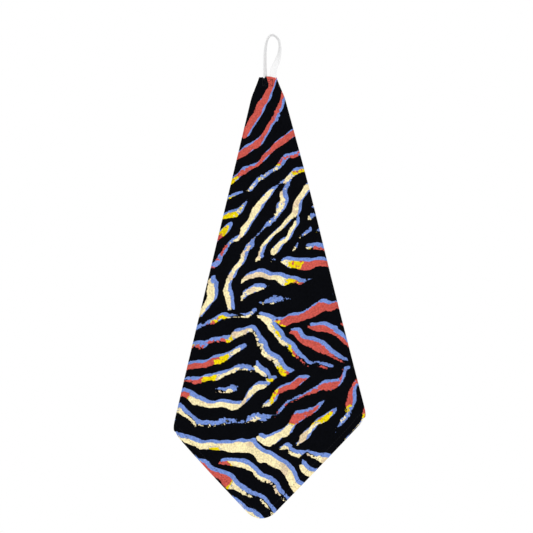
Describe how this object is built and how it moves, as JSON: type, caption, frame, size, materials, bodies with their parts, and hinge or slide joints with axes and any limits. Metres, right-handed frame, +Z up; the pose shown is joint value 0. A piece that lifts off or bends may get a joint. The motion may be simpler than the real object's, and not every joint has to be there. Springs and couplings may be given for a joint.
{
  "type": "golf towel",
  "caption": "Square printed terry golf towel hanging from one corner by a narrow tape loop, its side corners pleated back behind the front.",
  "frame": {"origin": "the inside of the loop's top, where a hook or peg carries the towel", "axes": "+Z up along the hang, -Y the printed front, +X to the right of the front"},
  "size_m": [0.2327, 0.0284, 0.5967],
  "materials": {
    "printed_terry": "cut pile terry with a printed stripe pattern in black, blue, coral, yellow and cream",
    "thread": "spun polyester sewing thread",
    "loop_tape": "white woven tape"
  },
  "bodies": {
    "loop": {"hanging_loop": "loop_tape"},
    "front": {"front_panel": "printed_terry", "front_hem": "printed_terry", "front_hem_thread": "thread", "corner_tack": "thread", "loop_tail": "loop_tape"},
    "left_inner": {"left_inner_panel": "printed_terry", "left_inner_hem": "printed_terry", "left_inner_hem_thread": "thread"},
    "left_outer": {"left_outer_panel": "printed_terry", "left_outer_hem": "printed_terry", "left_outer_hem_thread": "thread"},
    "right_inner": {"right_inner_panel": "printed_terry", "right_inner_hem": "printed_terry", "right_inner_hem_thread": "thread"},
    "right_outer": {"right_outer_panel": "printed_terry", "right_outer_hem": "printed_terry", "right_outer_hem_thread": "thread"}
  },
  "joints": [
    {"name": "towel_swing", "type": "hinge", "parent": "loop", "child": "front", "pos_m": [0, 0, -0.051], "axis": [1, 0, 0], "range_deg": [-75, 75]},
    {"name": "left_wing_open", "type": "hinge", "parent": "front", "child": "left_inner", "pos_m": [-0.01941, 0.00427, -0.05515], "axis": [0.2325, 0, 0.9726], "range_deg": [0, 180]},
    {"name": "left_wing_unpleat", "type": "hinge", "parent": "left_inner", "child": "left_outer", "pos_m": [-0.01941, 0.00667, -0.05515], "axis": [0.0531, 0, -0.9986], "range_deg": [0, 180]},
    {"name": "right_wing_open", "type": "hinge", "parent": "front", "child": "right_inner", "pos_m": [0.01101, 0.00427, -0.05632], "axis": [0.2504, 0, -0.9681], "range_deg": [0, 180]},
    {"name": "right_wing_unpleat", "type": "hinge", "parent": "right_inner", "child": "right_outer", "pos_m": [0.01101, 0.00667, -0.05632], "axis": [0.0083, 0, 1], "range_deg": [0, 180]}
  ],
  "couplings": [
    {"joint": "left_wing_unpleat", "follows": "left_wing_open", "ratio": 1},
    {"joint": "right_wing_unpleat", "follows": "right_wing_open", "ratio": 1}
  ]
}
